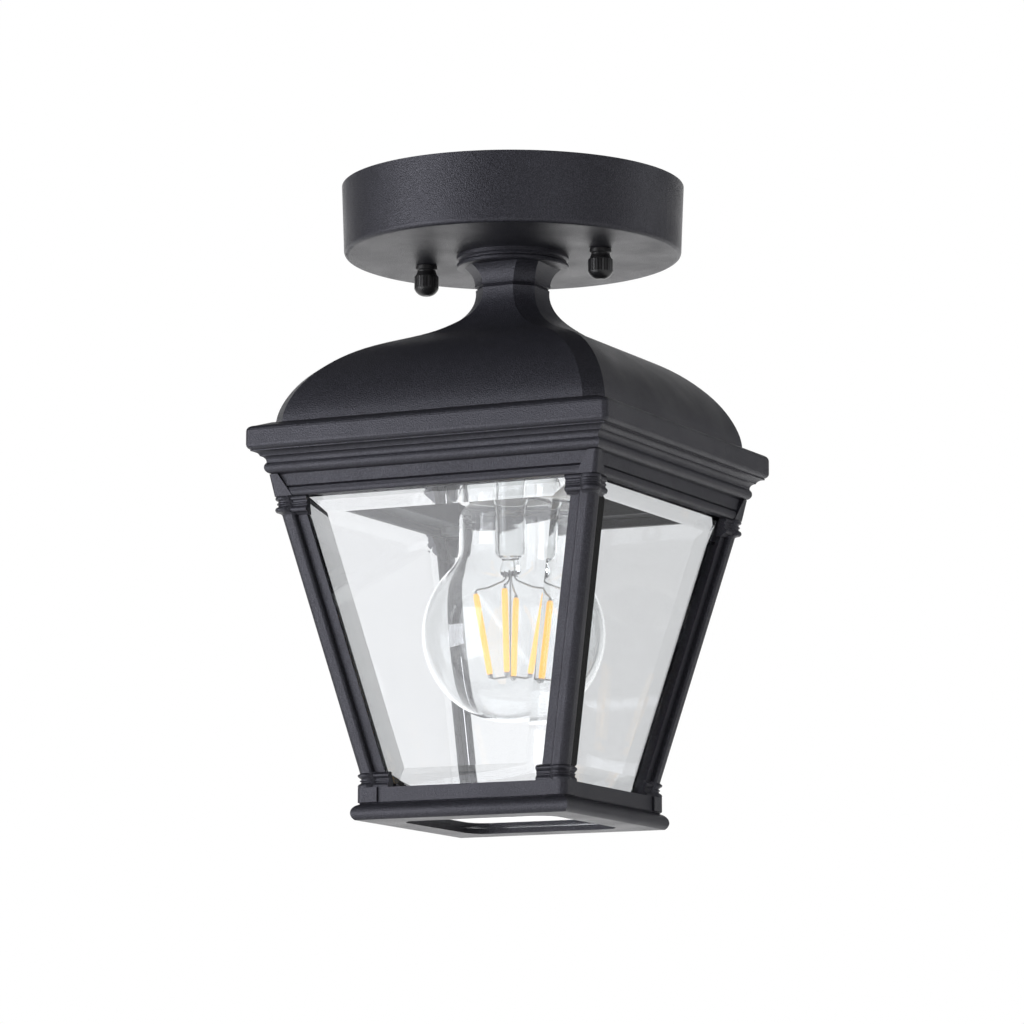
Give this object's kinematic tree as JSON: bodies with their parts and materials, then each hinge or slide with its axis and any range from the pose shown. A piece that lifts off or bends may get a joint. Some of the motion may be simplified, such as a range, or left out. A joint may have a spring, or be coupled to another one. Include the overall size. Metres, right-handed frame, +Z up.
{
  "type": "porch ceiling lantern",
  "caption": "Flush porch ceiling lantern: round canopy, eight-sided neck, bell roof on a square eave slab and a tapered cage of bevelled glass round one lamp.",
  "frame": {"origin": "middle of the ceiling plane on the canopy's axis; the lantern hangs below it", "axes": "+Z up towards the ceiling, X along the line of the two cap nuts, -Y out of the front face"},
  "size_m": [0.1368, 0.1368, 0.2239],
  "materials": {
    "black_coat": "fine-textured satin black powder coat on cast and spun aluminium",
    "black_nut": "black-coated knurled brass",
    "plated_steel": "bright zinc-plated steel",
    "earth_green": "green-lacquered steel",
    "porcelain": "glazed white porcelain",
    "contact_brass": "rolled brass",
    "lamp_cap": "rolled nickel-bright aluminium",
    "black_glass": "black glass insulator",
    "solder": "tin solder",
    "clear_glass": "clear blown lamp glass",
    "phosphor": "yellow phosphor coating",
    "nickel_wire": "drawn nickel wire",
    "bevelled_glass": "clear float glass, faint green at the edges, ground and polished bevels"
  },
  "bodies": {
    "fixture": {"crossbar": "plated_steel", "stud_left": "plated_steel", "stud_right": "plated_steel", "stud_locknuts": "plated_steel", "earth_screw": "earth_green", "canopy": "black_coat", "neck_collar": "black_coat", "hanger_pipe": "plated_steel", "canopy_washer": "plated_steel", "canopy_nut": "plated_steel", "roof": "black_coat", "roof_washer": "plated_steel", "roof_nut": "plated_steel", "lampholder_hub": "plated_steel", "lampholder_body": "porcelain", "plate_screws": "plated_steel", "screw_shell": "contact_brass", "centre_contact": "contact_brass", "terminal_screws": "contact_brass"},
    "cap_nut_left": {"cap_nut_left": "black_nut"},
    "cap_nut_right": {"cap_nut_right": "black_nut"},
    "bulb": {"bulb_cap": "lamp_cap", "bulb_insulator": "black_glass", "bulb_contact": "solder", "bulb_glass": "clear_glass", "bulb_stem": "clear_glass", "bulb_filaments": "phosphor", "bulb_support_wires": "nickel_wire"},
    "cage": {"cornice_frame": "black_coat", "post_back_right": "black_coat", "post_back_left": "black_coat", "post_front_left": "black_coat", "post_front_right": "black_coat", "pane_front": "bevelled_glass", "pane_right": "bevelled_glass", "pane_back": "bevelled_glass", "pane_left": "bevelled_glass", "post_screws": "plated_steel", "roof_screws": "plated_steel", "base_frame": "black_coat", "corner_clips": "black_coat"},
    "bottom_glass": {"bottom_glass": "bevelled_glass"}
  },
  "joints": [
    {"name": "cap_nut_left_slide", "type": "slide", "parent": "fixture", "child": "cap_nut_left", "axis": [0, 0, -1], "range_m": [0, 0.01]},
    {"name": "cap_nut_right_slide", "type": "slide", "parent": "fixture", "child": "cap_nut_right", "axis": [0, 0, -1], "range_m": [0, 0.01]},
    {"name": "bulb_slide", "type": "slide", "parent": "fixture", "child": "bulb", "axis": [0, 0, -1], "range_m": [0, 0.011]},
    {"name": "cage_slide", "type": "slide", "parent": "fixture", "child": "cage", "axis": [0, 0, -1], "range_m": [0, 0.11]},
    {"name": "bottom_glass_lift", "type": "slide", "parent": "cage", "child": "bottom_glass", "axis": [0, 0, 1], "range_m": [0, 0.012]}
  ]
}
